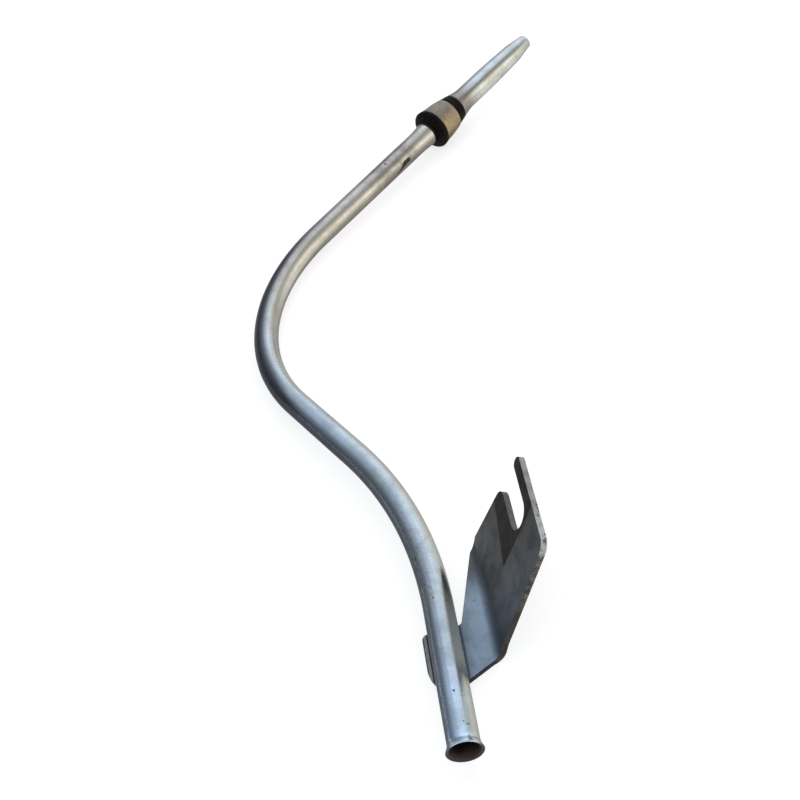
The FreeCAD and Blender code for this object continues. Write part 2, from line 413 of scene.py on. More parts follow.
# Marks on the tube as (side, station, height) in millimetres with their half sizes
tubeMarks = [
    ((-2.69, 70.0, 4.22), (0.35, 1.2, 0.4)),
    ((-2.23, 58.5, 4.47), (0.25, 0.5, 0.3)),
    ((-0.22, 52.0, 5.0), (0.25, 0.5, 0.3)),
    ((0.83, 17.5, 4.93), (0.32, 0.5, 0.3)),
    ((1.95, 7.0, 4.6), (0.3, 0.2, 0.3)),
    ((3.08, 6.0, 3.94), (0.6, 0.22, 0.6)),
    ((1.21, 328.5, 4.85), (0.5, 0.7, 0.5)),
]


def makeZinc():
    look = zincLook
    material, tree, shader, lay = newMaterial("zincTube")
    at, cover = fromLook(tree, look, zincPlaces)
    sideways, station, upwards = layParts(tree, lay)
    side = calc(tree, "DIVIDE", sideways, tubeSizes["radius"])
    rise = calc(tree, "DIVIDE", upwards, tubeSizes["radius"])
    stain, grain = useGroup(tree, cloudyStain, {"Vector": lay, "Scale": 0.16, "Low": 0.35, "High": 0.68})
    streaks = useGroup(tree, drawnStreaks, {"Vector": lay, "Across": 1.6, "Along": 0.02})["Mask"]

    # plating: bluest at the mouth and on the middle run, neutral past the second bend, clean on the spigot
    colour = look["mouth"]
    for name in ("cool", "blue", "neutral", "clean"):
        colour = cover(colour, at(name, station), name)
    stained = plus(tree, times(tree, stain, 1 - look["warmLeast"]), look["warmLeast"])
    colour = cover(colour, times(tree, at("warmSide", side), stained), "warm")
    tint = noiseAt(tree, lay, *look["tintNoise"])
    colour = cover(colour, at("greenTint", tint), "green")
    colour = cover(colour, at("violetTint", tint), "violet")
    colour = mottled(tree, colour, (stain, grain, streaks), look["mottle"])

    # a dull band along the spigot, a yellow cast by the mouth, and dust on the flank that faces the pad
    fromBand = calc(tree, "ABSOLUTE", minus(tree, side, look["bandSide"]))
    colour = cover(colour, times(tree, at("bandEdge", fromBand), at("clean", station)), "band")
    colour = cover(colour, times(tree, at("castSide", side), at("cast", station)), "cast")
    dusty = times(tree, at("dust", station), at("dustSide", side))
    colour = cover(colour, dusty, "dust")

    # soil on the length below the collar, and painted shade on the shoulder past it
    soilAndShoulderShade = times(tree, at("brownGrey", station), at("soilStain", stain))
    soilAndShoulderShade = most(tree, soilAndShoulderShade, at("shoulder", station))
    colour = cover(colour, soilAndShoulderShade, "brownGrey")

    # painted shade along the flank away from the bracket, deeper towards its edge, and painted shade
    # underneath
    ragged = swing(tree, grain, look["raggedness"])
    edge = plus(tree, side, ragged)
    start = plus(tree, at("flankEdge", station), at("flankShift", station))
    flank = fade(tree, edge, start, minus(tree, start, look["flankWidth"]))
    flank = times(tree, flank, at("flank", station))
    colour = cover(colour, flank, "flankShade")
    start = minus(tree, look["deepEdge"], times(tree, at("deepRun", station), look["deepShift"]))
    deep = fade(tree, edge, start, minus(tree, start, look["deepWidth"]), 0.0, look["deepMost"])
    deep = times(tree, deep, at("deep", station))
    colour = cover(colour, deep, "deep")
    start = at("underEdge", station)
    under = fade(tree, rise, start, minus(tree, start, look["underWidth"]))
    under = times(tree, under, at("under", station))
    colour = cover(colour, under, "under")

    # painted shade on the inner side of the second bend
    colour = cover(colour, times(tree, at("bendShade", station), at("bendShadeSide", side)), "brownGrey")

    # pits and a rough patch gather on the first bend, with a few pits everywhere else
    crowd = at("pits", station)
    marks = 0.0
    for scale, size, crowded, everywhere, depth in look["pits"]:
        share = plus(tree, times(tree, crowd, crowded), everywhere)
        values = {"Vector": lay, "Scale": scale, "Size": size, "Share": share}
        pits = useGroup(tree, scatteredPits, values)["Mask"]
        marks = most(tree, marks, times(tree, pits, depth))
    patch = at("patch", noiseAt(tree, lay, *look["patchNoise"]))
    marks = most(tree, marks, times(tree, patch, crowd, at("patchSide", side)))
    for place, size in tubeMarks:
        spot = useGroup(tree, raggedMark, {"Vector": lay, "Place": place, "Size": size})["Mask"]
        marks = most(tree, marks, times(tree, spot, look["markDepth"]))

    # chip in the plating below the collar: square at its upper end, drawn out to a point below
    wobble = times(tree, ragged, look["chipWobble"])
    chipTop = plus(tree, wobble, at("chipTop", station))
    chipFoot = at("chipFoot", station)
    chip = times(
        tree,
        at("chipTopEdge", minus(tree, upwards, chipTop)),
        at("chipFootEdge", minus(tree, upwards, chipFoot)),
        at("chipSquareEnd", plus(tree, station, wobble)),
        at("chipPoint", station),
        at("chipSide", sideways),
    )
    marks = most(tree, marks, chip)
    colour = cover(colour, marks, "pit")

    # the mouth's lower lip is sooty, and a ring of painted shade stands for a crease round behind the bell
    lip = times(tree, at("lip", station), at("lipHeight", rise))
    sootAndShade = most(tree, lip, times(tree, at("crease", station), look["creaseDepth"]))
    colour = cover(colour, sootAndShade, "sootAndShade")

    rough = plus(tree, times(tree, stain, look["stainRough"]), times(tree, flank, look["flankRough"]))
    rough = plus(tree, times(tree, marks, look["markRough"]), plus(tree, rough, look["roughness"]))
    dull = times(tree, most(tree, marks, sootAndShade), look["markDull"])
    dull = most(tree, dull, times(tree, dusty, look["dustDull"]))
    metal = minus(tree, look["metallic"], dull)
    height = minus(tree, times(tree, grain, look["grainRelief"]), marks)
    height = plus(tree, height, times(tree, streaks, look["streakRelief"]))
    shader.inputs["Specular Tint"].default_value = look["specularTint"]
    finishShader(tree, shader, colour, rough, metal, height, look["bump"])
    return material


boreLook = {
    "oil": (0.012, 0.008, 0.007, 1),
    "rust": (0.055, 0.024, 0.018, 1),
    "rim": (0.05, 0.038, 0.034, 1),
    "rimFade": (2.6, 0.4),  # stations at which the paler rim starts and is full
    "rough": (0, 1, 0.45, 0.7),
    "metallic": 0.2,
    "bump": (0.4, 0.0001),
}


def makeBore():
    look = boreLook
    material, tree, shader, lay = newMaterial("oilyBore")
    at, cover = fromLook(tree, look, look)
    station = layParts(tree, lay)[1]
    stain, grain = useGroup(tree, cloudyStain, {"Vector": lay, "Scale": 0.3, "Low": 0.4, "High": 0.7})
    colour = cover(look["oil"], stain, "rust")
    colour = cover(colour, at("rimFade", station), "rim")
    rough = at("rough", grain)
    finishShader(tree, shader, colour, rough, look["metallic"], grain, look["bump"])
    return material


# Seals and collar round the block run, sizes in millimetres
collarSizes = {
    "lowerLength": 4.9, "lowerRadius": 7.5, "lowerNearEdge": 0.25, "lowerFarEdge": 0.1,
    "lowerMargin": 0.06,  # share of its length that each rounded edge takes
    "lowerSteps": 12, "collarLength": 11.3, "collarRadius": 9.1, "collarFar": 7.7,
    "collarEdge": 0.35, "collarMargin": 0.03, "collarSteps": 20, "crown": 0.2,
    "wornIn": 0.06,
    "slowWave": (0.05, 3, 0.7),  # depth, waves in a turn and where they start
    "quickWave": (0.035, 7), "upperLength": 3.6, "upperRadius": 9.4, "upperHeel": 9.25,
    "upperWall": 1.2, "domeSteps": 16, "wallSteps": 5, "segments": 96,
}
shoulderStart = tubeEnd - tubeSizes["spigot"]
lowerStart = shoulderStart - collarSizes["lowerLength"]
collarStart = lowerStart - collarSizes["collarLength"]
sealFront = collarStart - collarSizes["upperLength"]


def makeTube():
    sizes = tubeSizes
    radius, wall, lip = sizes["radius"], sizes["wall"], sizes["lip"]
    spigot, lead, nose = sizes["spigotRadius"], sizes["leadRadius"], sizes["noseRadius"]
    noseStart = tubeEnd - sizes["noseLength"]
    taperStart = noseStart - sizes["leadTaper"]
    shoulderEnd = shoulderStart + sizes["shoulderLength"]
    flareStart = sealFront - sizes["flareLength"]
    justBefore = 0.01  # a ring this far before a step in the radius
    flareLead = 1.0  # first ring past the start of the flare
    boreStop = 1.0  # the bore's last ring lies this far inside the nose

    def outside(station):
        if station < sizes["bellLength"]:
            return radius + (sizes["bellRadius"] - radius) * (1 - station / sizes["bellLength"]) ** 2
        if flareStart < station < sealFront:
            share = (station - flareStart) / sizes["flareLength"]
            return radius + (sizes["flareRadius"] - radius) * share ** 2
        if station < shoulderStart:
            return radius
        if station < shoulderEnd:
            share = (shoulderEnd - station) / sizes["shoulderLength"]
            return spigot + (sizes["shoulderRadius"] - spigot) * share ** sizes["shoulderCurve"]
        if station < taperStart:
            return spigot
        if station < noseStart:
            return spigot + (lead - spigot) * (station - taperStart) / sizes["leadTaper"]
        return lead + (nose - lead) * (station - noseStart) / sizes["noseLength"]

    def inside(station):
        if shoulderStart <= station < shoulderEnd:
            share = (station - shoulderStart) / sizes["shoulderLength"]
            return radius + (spigot - radius) * share - wall
        if flareStart < station < sealFront:
            return radius - wall
        return outside(station) - wall

    def spaced(first, last):
        count = int((last - first) / sizes["step"])
        return [first + (last - first) * step / count for step in range(count + 1)]

    def roundLip(base, end, way):
        middle = outside(end) - wall / 2
        turns = [pi * step / sizes["lipSteps"] for step in range(1, sizes["lipSteps"])]
        return [(base + way * lip * sin(turn), middle + way * wall / 2 * cos(turn), 0) for turn in turns]

    bellSteps, shoulderSteps = sizes["bellSteps"], sizes["shoulderSteps"]
    stations = [lip + (sizes["bellLength"] - lip) * step / bellSteps for step in range(bellSteps)]
    stations += spaced(sizes["bellLength"], flareStart)
    stations += spaced(flareStart + flareLead, sealFront - justBefore)
    stations += spaced(sealFront, shoulderStart - justBefore)
    shoulderGap = sizes["shoulderLength"] / shoulderSteps
    stations += [shoulderStart + shoulderGap * step for step in range(shoulderSteps)]
    stations += spaced(shoulderEnd, tubeEnd - lip)
    rings = [(station, outside(station), 0) for station in stations]
    rings += roundLip(tubeEnd - lip, tubeEnd, 1)
    rings += [(station, inside(station), 1) for station in reversed(stations) if station < tubeEnd - boreStop]
    rings += roundLip(lip, 0, -1)
    roundPiece("guideTube", rings, sizes["segments"], [makeZinc(), makeBore()], "guide_tube")


makeTube()
print("guide tube ready")

rubberLook = {
    "black": (0.0045, 0.0038, 0.0036, 1),
    "brown": (0.019, 0.012, 0.009, 1),
    "roughness": 0.55,
    "grainRough": 0.15,
    "specular": 0.06,
    "bump": (0.4, 0.0001),
}


def makeRubber():
    look = rubberLook
    material, tree, shader, lay = newMaterial("sealRubber")
    stain, grain = useGroup(tree, cloudyStain, {"Vector": lay, "Scale": 0.35, "Low": 0.4, "High": 0.75})
    colour = blendColour(tree, stain, look["black"], look["brown"])
    rough = plus(tree, times(tree, grain, look["grainRough"]), look["roughness"])
    shader.inputs["Specular IOR Level"].default_value = look["specular"]
    finishShader(tree, shader, colour, rough, 0.0, grain, look["bump"])
    return material


collarLook = {
    "grey": (0.235, 0.22, 0.185, 1),
    # brass colour, also a painted highlight on one side of the collar
    "brassAndHighlight": (0.45, 0.34, 0.18, 1),
    "pale": (0.36, 0.33, 0.27, 1),
    "brown": (0.19, 0.13, 0.085, 1),
    # dirt, also used for painted shade against both rings and underneath
    "dirtAndShade": (0.065, 0.05, 0.034, 1),
    "paleMost": 0.7, "patchNoise": (0.3, 3), "patchSwing": 9,
    "brassAndHighlightSide": (4, 9),  # millimetres to the side
    "grainDirt": (0.35, 1, 0, 0.32), "pitDirt": 0.4, "blotchNoise": (0.42, 3, 0.6, 0.6),
    "blotch": (0.52, 0.68, 0, 0.45),
    "nearDirtAndShade": 0.8,  # width in millimetres at each end
    "farDirtAndShade": 1, "endDirtAndShade": 0.8, "underDirtAndShade": (1, -5), "roughness": 0.42,
    "stainRough": 0.15, "metal": (0.2, 1, 0.85, 0.6), "pitRelief": 0.8,
    "bump": (0.5, 0.00012),
}


def makeCollarMetal():
    look = collarLook
    material, tree, shader, lay = newMaterial("collarMetal")
    at, cover = fromLook(tree, look, look)
    sideways, station, upwards = layParts(tree, lay)
    stain, grain = useGroup(tree, cloudyStain, {"Vector": lay, "Scale": 0.2, "Low": 0.38, "High": 0.62})
    pits = useGroup(tree, scatteredPits, {"Vector": lay, "Scale": 0.8, "Size": 0.3, "Share": 0.2})["Mask"]
    colour = cover(look["grey"], times(tree, stain, look["paleMost"]), "pale")
    # one side is brassy: partly the collar's own colour, partly a painted highlight
    patchy = swing(tree, noiseAt(tree, lay, *look["patchNoise"]), look["patchSwing"])
    brassAndHighlight = at("brassAndHighlightSide", plus(tree, sideways, patchy))
    colour = cover(colour, brassAndHighlight, "brassAndHighlight")
    colour = cover(colour, at("grainDirt", grain), "dirtAndShade")
    colour = cover(colour, times(tree, pits, look["pitDirt"]), "dirtAndShade")
    blotch = at("blotch", noiseAt(tree, lay, *look["blotchNoise"]))
    colour = cover(colour, blotch, "brown")
    # dirt and painted shade gather against both rings and underneath
    nearEnd = fade(tree, station, collarStart + look["nearDirtAndShade"], collarStart)
    farEnd = fade(tree, station, lowerStart - look["farDirtAndShade"], lowerStart)
    grimeAndShade = times(tree, most(tree, nearEnd, farEnd), look["endDirtAndShade"])
    grimeAndShade = most(tree, grimeAndShade, at("underDirtAndShade", upwards))
    colour = cover(colour, grimeAndShade, "dirtAndShade")
    rough = plus(tree, times(tree, stain, look["stainRough"]), look["roughness"])
    metal = at("metal", grain)
    height = minus(tree, stain, times(tree, pits, look["pitRelief"]))
    finishShader(tree, shader, colour, rough, metal, height, look["bump"])
    return material


def makeCollar():
    sizes = collarSizes
    inner = tubeSizes["radius"]
    shoulder = tubeSizes["shoulderRadius"]
    segments = sizes["segments"]
    rubber = makeRubber()

    # upper ring: a domed front that swells from the tube, then a short wall up to the collar
    dome = sizes["upperLength"] - sizes["upperWall"]
    rings = []
    for step in range(sizes["domeSteps"] + 1):
        turn = pi / 2 * step / sizes["domeSteps"]
        reach = inner + (sizes["upperRadius"] - inner) * sin(turn)
        rings.append((sealFront + dome * (1 - cos(turn)), reach, 0))
    for step in range(1, sizes["wallSteps"] + 1):
        share = step / sizes["wallSteps"]
        reach = sizes["upperRadius"] + (sizes["upperHeel"] - sizes["upperRadius"]) * share
        rings.append((sealFront + dome + sizes["upperWall"] * share, reach, 0))
    rings.append((collarStart, inner, 0))
    roundPiece("upperSeal", rings, segments, [rubber], "upper_seal")

    # collar: a tapered sleeve with a slight crown, worn unevenly
    def sleeve(share):
        straight = sizes["collarRadius"] + (sizes["collarFar"] - sizes["collarRadius"]) * share
        return straight + sizes["crown"] * 4 * share * (1 - share)

    def worn(turn, station, radius):
        if radius < inner + 0.5:  # the bore stays round
            return 0.0
        slow, slowCount, slowStart = sizes["slowWave"]
        quick, quickCount = sizes["quickWave"]
        wave = slow * sin(slowCount * turn + slowStart) + quick * sin(quickCount * turn + station)
        return wave - sizes["wornIn"]

    def shares(margin, steps):
        return [margin + (1 - 2 * margin) * step / steps for step in range(steps + 1)]

    edge = sizes["collarEdge"]
    rings = [(collarStart, inner, 0), (collarStart, sleeve(0) - edge, 0)]
    for share in shares(sizes["collarMargin"], sizes["collarSteps"]):
        rings.append((collarStart + sizes["collarLength"] * share, sleeve(share), 0))
    rings += [(lowerStart, sleeve(1) - edge, 0), (lowerStart, inner, 0)]
    roundPiece("stopCollar", rings, segments, [makeCollarMetal()], "stop_collar", worn)

    # lower ring: tapers from the collar to the tube's shoulder
    rings = [(lowerStart, inner, 0), (lowerStart, sizes["lowerRadius"] - sizes["lowerNearEdge"], 0)]
    for share in shares(sizes["lowerMargin"], sizes["lowerSteps"]):
        taper = sizes["lowerRadius"] + (shoulder - sizes["lowerRadius"]) * share
        rings.append((lowerStart + sizes["lowerLength"] * share, taper, 0))
    rings += [(shoulderStart, shoulder - sizes["lowerFarEdge"], 0), (shoulderStart, inner, 0)]
    roundPiece("lowerSeal", rings, segments, [rubber], "lower_seal")


makeCollar()
print("seals and collar ready")

# Bracket plate, sizes in millimetres, laid out flat as (across, station)
plateSizes = {
    "thickness": 2, "padStart": 25, "padLength": 21.4, "padLeft": 7.9, "padNearRadius": 8,
    "padFarRadius": 1.8, "padToe": 2, "gusset": 5.3, "gussetRadius": 1.5,
    "foldOffset": 14.6, "foldAngle": 55, "foldRadius": 3.5, "foldNear": 30, "foldFar": 73,
    "flangeStart": 31.3, "toeHeight": 4.5, "toeRise": 1.2, "toeRadius": 4, "skew": 8,
    "height": 41.5, "cornerRadius": 4.5, "farEdge": 77.6, "slotWidth": 10.5,
    "slotDepth": 21.4, "outerProng": 4.3, "outerTip": 1.9, "innerTip": 4, "bevel": 0.22,
    "bevelSteps": 3, "cornerSteps": 9, "foldRows": 14, "foldSteps": 16,
}
plateTop = -tubeSizes["radius"]
foldRadius = plateSizes["foldRadius"]
foldTurn = radians(plateSizes["foldAngle"])
foldSetback = foldRadius * tan(foldTurn / 2)
foldLine = plateSizes["foldOffset"] - foldSetback
flangeLine = foldLine + foldRadius * foldTurn
flangeShift = flangeLine - foldSetback  # from a height on the flange to a place across the flat plate


def bendPlate(across, station, depth):
    if across <= foldLine:
        return Vector((across, station, plateTop - depth))
    if across <= flangeLine:
        turn = (across - foldLine) / foldRadius
        reach = foldRadius + depth
        return Vector((foldLine + reach * sin(turn), station, plateTop + foldRadius - reach * cos(turn)))
    height = across - flangeShift
    return Vector((
        plateSizes["foldOffset"] + height * cos(foldTurn) + depth * sin(foldTurn),
        station,
        plateTop + height * sin(foldTurn) - depth * cos(foldTurn),
    ))


def flattenPlate(point):
    reach, drop = point.x - foldLine, plateTop + foldRadius - point.z
    turn = atan2(reach, drop)
    if reach <= 0:
        return Vector((point.x, point.y, plateTop - point.z))
    if turn <= foldTurn and drop > 0:
        return Vector((foldLine + turn * foldRadius, point.y, hypot(reach, drop) - foldRadius))
    out, rise = point.x - plateSizes["foldOffset"], point.z - plateTop
    height = out * cos(foldTurn) + rise * sin(foldTurn)
    return Vector((height + flangeShift, point.y, out * sin(foldTurn) - rise * cos(foldTurn)))


def roundedOutline(corners, pieces):
    # corners are (across, station, radius), and a radius of 0 leaves a sharp corner
    outline = []
    for index, (across, station, radius) in enumerate(corners):
        corner = Vector((across, station))
        before = (Vector(corners[index - 1][:2]) - corner).normalized()
        after = (Vector(corners[(index + 1) % len(corners)][:2]) - corner).normalized()
        if radius == 0:
            outline.append(corner)
            continue
        half = before.angle(after) / 2
        centre = corner + (before + after).normalized() * (radius / sin(half))
        start = corner + before * (radius / tan(half)) - centre
        end = corner + after * (radius / tan(half)) - centre
        sweep = start.angle_signed(end)
        for step in range(pieces + 1):
            turn = -sweep * step / pieces
            spokeX = start.x * cos(turn) - start.y * sin(turn)
            spokeY = start.x * sin(turn) + start.y * cos(turn)
            outline.append(centre + Vector((spokeX, spokeY)))
    return outline


def plateOutline():
    sizes = plateSizes
    padEnd = sizes["padStart"] + sizes["padLength"]
    toe = sizes["flangeStart"] + sizes["toeRise"]
    outer = sizes["height"] - sizes["outerProng"]
    inner = outer - sizes["slotWidth"]
    slotEnd = sizes["farEdge"] - sizes["slotDepth"]
    slotRound = sizes["slotWidth"] / 2 - 0.001  # just short of half, so that the two arcs don't meet
    corners = [
        (-sizes["padLeft"], sizes["padStart"], sizes["padNearRadius"]),
        (sizes["padToe"], sizes["padStart"], 0),
        (foldLine, sizes["foldNear"], 0),
        (flangeLine, sizes["flangeStart"], 0),
        (sizes["toeHeight"] + flangeShift, toe, sizes["toeRadius"]),
        (sizes["height"] + flangeShift, toe + sizes["skew"], sizes["cornerRadius"]),
        (sizes["height"] + flangeShift, sizes["farEdge"], sizes["outerTip"]),
        (outer + flangeShift, sizes["farEdge"], sizes["outerTip"]),
        (outer + flangeShift, slotEnd, slotRound),
        (inner + flangeShift, slotEnd, slotRound),
        (inner + flangeShift, sizes["farEdge"], sizes["innerTip"]),
        (flangeLine, sizes["farEdge"], 0),
        (foldLine, sizes["foldFar"], 0),
        (sizes["gusset"], padEnd, sizes["gussetRadius"]),
        (-sizes["padLeft"], padEnd, sizes["padFarRadius"]),
    ]
    return roundedOutline(corners, sizes["cornerSteps"])


# Plated sheet: fades and zones as for the tube, in millimetres across the flat plate and along it
plateLook = {
    "pad": (0.285, 0.36, 0.445, 1),
    "padFar": (0.115, 0.12, 0.128, 1),
    "strip": (0.29, 0.285, 0.29, 1),
    # a darker copy of the plating for the flange: partly its own tone, partly painted shade
    "flange": (0.076, 0.082, 0.088, 1),
    "flangeFoot": (0.10, 0.122, 0.15, 1),
    "darkPatch": (0.0145, 0.0098, 0.0115, 1),
    # grime, also painted shade in the groove beside the tube
    "grimeAndShade": (0.014, 0.012, 0.012, 1),
    "footFade": (58, 36), "heightLevel": (12, 34, 1.25, 0.5), "farLevel": (48, 62, 1, 0.5),
    "padFarFade": (52, 70), "stripFade": (-4, -5.5),
    "foldFade": (foldLine - 0.5, flangeLine + 2), "mottle": (1.08, 0.14, 0.10, 0.10),
    "raggedness": 0.5,
    "darkPatchSide": (0.175, 6.7),  # slope and start of the dark patch's two straight edges
    "darkPatchFoot": (0.12, 51.1), "darkPatchEdge": (-0.3, 0.3), "darkPatchMost": 0.97,
    "pitMost": 0.5, "grooveMiddle": -0.75, "grooveRagged": 0.4, "grooveEdge": (6.05, 5.45),
    "grooveSide": (-1, 2, 1, 0.55), "rim": (-7.35, -7.65, 0, 0.7), "roughness": 0.42,
    "stainRough": 0.12, "darkPatchRough": 0.15, "metal": (0, 1, 0.78, 0.3), "specular": 0.2,
    "grainRelief": 0.4, "bump": (0.35, 0.0001),
}


def makePlateZinc():
    look = plateLook
    material, tree, shader, lay = newMaterial("platedSheet")
    at, cover = fromLook(tree, look, look)
    across, station, _ = layParts(tree, lay)
    height = minus(tree, across, flangeShift)
    stain, grain = useGroup(tree, cloudyStain, {"Vector": lay, "Scale": 0.14, "Low": 0.38, "High": 0.7})
    streaks = useGroup(tree, drawnStreaks, {"Vector": lay, "Across": 0.9, "Along": 0.05})["Mask"]
    # the flange is painted darker than the pad, partly as painted shade for the face turned from the light,
    # and darker still towards its top and far end
    flange = cover(look["flange"], at("footFade", station), "flangeFoot")
    level = times(tree, at("heightLevel", height), at("farLevel", station))
    flange = shaded(tree, flange, level)
    pad = cover(look["pad"], at("padFarFade", station), "padFar")
    pad = cover(pad, at("stripFade", across), "strip")
    colour = blendColour(tree, at("foldFade", across), pad, flange)
    colour = mottled(tree, colour, (stain, grain, streaks), look["mottle"])

    # a dark patch round the slot, with two straight edges
    ragged = swing(tree, grain, look["raggedness"])
    slope, start = look["darkPatchSide"]
    sideEdge = minus(tree, height, plus(tree, times(tree, station, slope), start))
    slope, start = look["darkPatchFoot"]
    footEdge = minus(tree, station, plus(tree, times(tree, height, slope), start))
    darkPatch = times(
        tree,
        at("darkPatchEdge", plus(tree, sideEdge, ragged)),
        at("darkPatchEdge", plus(tree, footEdge, ragged)),
    )
    colour = cover(colour, times(tree, darkPatch, look["darkPatchMost"]), "darkPatch")
    pits = useGroup(tree, scatteredPits, {"Vector": lay, "Scale": 0.55, "Size": 0.24, "Share": 0.10})["Mask"]
    colour = cover(colour, times(tree, pits, look["pitMost"]), "darkPatch")

    # painted shade and grime in the groove beside the tube, and grime along the outer rim of the pad
    fromMiddle = calc(tree, "ABSOLUTE", minus(tree, across, look["grooveMiddle"]))
    fromMiddle = plus(tree, fromMiddle, times(tree, ragged, look["grooveRagged"]))
    groove = times(tree, at("grooveEdge", fromMiddle), at("grooveSide", across))
    groove = most(tree, groove, at("rim", plus(tree, across, ragged)))
    colour = cover(colour, groove, "grimeAndShade")

    rough = plus(tree, times(tree, stain, look["stainRough"]), look["roughness"])
    rough = plus(tree, rough, times(tree, darkPatch, look["darkPatchRough"]))
    metal = at("metal", groove)
    relief = minus(tree, times(tree, grain, look["grainRelief"]), pits)
    shader.inputs["Specular IOR Level"].default_value = look["specular"]
    finishShader(tree, shader, colour, rough, metal, relief, look["bump"])
    return material


# Cut edges of the plate, placed in the same way
edgeLook = {
    "bare": (0.43, 0.43, 0.42, 1),
    "bright": (0.62, 0.64, 0.63, 1),
    "dull": (0.22, 0.21, 0.20, 1),
    "wall": (0.08, 0.075, 0.075, 1),
    "rust": (0.024, 0.016, 0.014, 1),
    "chip": (0.52, 0.48, 0.42, 1),
    "black": (0.015, 0.013, 0.013, 1),
    "dullMost": 0.65, "brightFade": (58, 48, 0, 0.7), "fleckNoise": (1.3, 3, 0.7),
    "fleck": (0.48, 0.66, 0, 0.65), "speckMost": 0.8, "wallStart": (54, 58),
    "wallAcross": (48, 45), "wallFleck": (0, 0.6, 0.72, 1),
    "nearSlope": 0.216, "nearEdge": (34.5, 31.5), "nearAcross": ((12, 15), (53, 51.2)),
    "patchNoise": (0.3, 2), "patch": (0.40, 0.60, 0.1, 1), "chipGrain": (0.25, 0.75),
    "chipAcross": (27, 49, 0.1, 1),
    "footAcross": ((16, 13), (-3, 1)), "footStation": (34, 31.5),
    "stripBlack": (-4, -6, 0, 0.85), "rough": (0, 1, 0.45, 0.75), "metal": (0, 1, 0.6, 0.1),
    "bump": (0.6, 0.00015),
}


def makeCutEdge():
    look = edgeLook
    material, tree, shader, lay = newMaterial("cutEdge")
    at, cover = fromLook(tree, look, look)
    across, station, _ = layParts(tree, lay)
    stain, grain = useGroup(tree, cloudyStain, {"Vector": lay, "Scale": 0.4, "Low": 0.35, "High": 0.65})
    specks = useGroup(tree, scatteredPits, {"Vector": lay, "Scale": 0.7, "Size": 0.5, "Share": 0.3})["Mask"]
    flecks = at("fleck", noiseAt(tree, lay, *look["fleckNoise"]))
    colour = cover(look["bare"], times(tree, stain, look["dullMost"]), "dull")
    colour = cover(colour, at("brightFade", station), "bright")
    colour = cover(colour, flecks, "dull")
    colour = cover(colour, times(tree, specks, look["speckMost"]), "rust")

    # the wall of the slot on the inner prong is darker
    wall = times(tree, at("wallStart", station), at("wallAcross", across), at("wallFleck", flecks))
    colour = cover(colour, wall, "wall")

    # the near edge of the flange is rusty, with pale chips towards its outer corner
    slant = minus(tree, station, times(tree, across, look["nearSlope"]))
    near = times(tree, at("nearEdge", slant), at("nearAcross", across))
    patches = at("patch", noiseAt(tree, lay, *look["patchNoise"]))
    chips = times(tree, patches, at("chipGrain", grain), at("chipAcross", across))
    rusty = cover(look["rust"], chips, "chip")
    colour = blendColour(tree, near, colour, rusty)

    # the foot of the plate and the strip past the tube are black
    foot = times(tree, at("footAcross", across), at("footStation", station))
    colour = cover(colour, foot, "black")
    colour = cover(colour, at("stripBlack", across), "black")
    rough = at("rough", grain)
    metal = at("metal", most(tree, near, specks))
    finishShader(tree, shader, colour, rough, metal, grain, look["bump"])
    return material


def makeBracket():
    sizes = plateSizes
    outline = plateOutline()
    points = [Vector(point) for point in outline]
    edges = []
    rows, steps = sizes["foldRows"], sizes["foldSteps"]
    # rows of edges along the fold, so that it bends smoothly
    for row in range(rows + 1):
        share = row / rows
        across = foldLine + (flangeLine - foldLine) * share
        near = sizes["foldNear"] + (sizes["flangeStart"] - sizes["foldNear"]) * share
        far = sizes["foldFar"] + (sizes["farEdge"] - sizes["foldFar"]) * share
        first = len(points)
        points += [Vector((across, near + (far - near) * step / steps)) for step in range(steps + 1)]
        edges += [(first + step, first + step + 1) for step in range(steps)]
    flat = delaunay_2d_cdt(points, edges, [list(range(len(outline)))], 1, 1e-4)
    spots, faces = flat[0], flat[2]
    bm = bmesh.new()
    top = [bm.verts.new(toPart @ bendPlate(spot.x, spot.y, 0)) for spot in spots]
    under = [bm.verts.new(toPart @ bendPlate(spot.x, spot.y, sizes["thickness"])) for spot in spots]
    for face in faces:
        bm.faces.new([top[index] for index in face])
        bm.faces.new([under[index] for index in reversed(face)])
    rims = [edge for edge in bm.edges if len(edge.link_faces) == 1]
    pairs = {vert: under[index] for index, vert in enumerate(top)}
    for edge in rims:
        first, second = edge.verts
        if first in pairs and second in pairs:
            side = bm.faces.new((first, second, pairs[second], pairs[first]))
            side.material_index = 1
    bmesh.ops.recalc_face_normals(bm, faces=bm.faces)
    soft = {"offset": sizes["bevel"] * mm, "segments": sizes["bevelSteps"], "profile": 0.5}
    bmesh.ops.bevel(bm, geom=rims, affect="EDGES", clamp_overlap=True, material=1, **soft)
    lay = bm.verts.layers.float_vector.new("lay")
    fromPart = toPart.inverted()
    for vert in bm.verts:
        vert[lay] = flattenPlate(fromPart @ vert.co)
    for face in bm.faces:
        face.smooth = True
    materials = [makePlateZinc(), makeCutEdge()]
    piece = finishPiece("mountingBracket", bm, materials, "mounting_bracket")
    normals = piece.modifiers.new("flatFaces", "WEIGHTED_NORMAL")
    normals.weight = 100


makeBracket()
print("bracket ready")

brazeLook = {
    "brass": (0.13, 0.11, 0.08, 1),
    "oxide": (0.03, 0.027, 0.025, 1),
    "rough": (0.0, 1.0, 0.4, 0.65),
    "metallic": 0.7,
    "bump": (0.5, 0.0002),
}


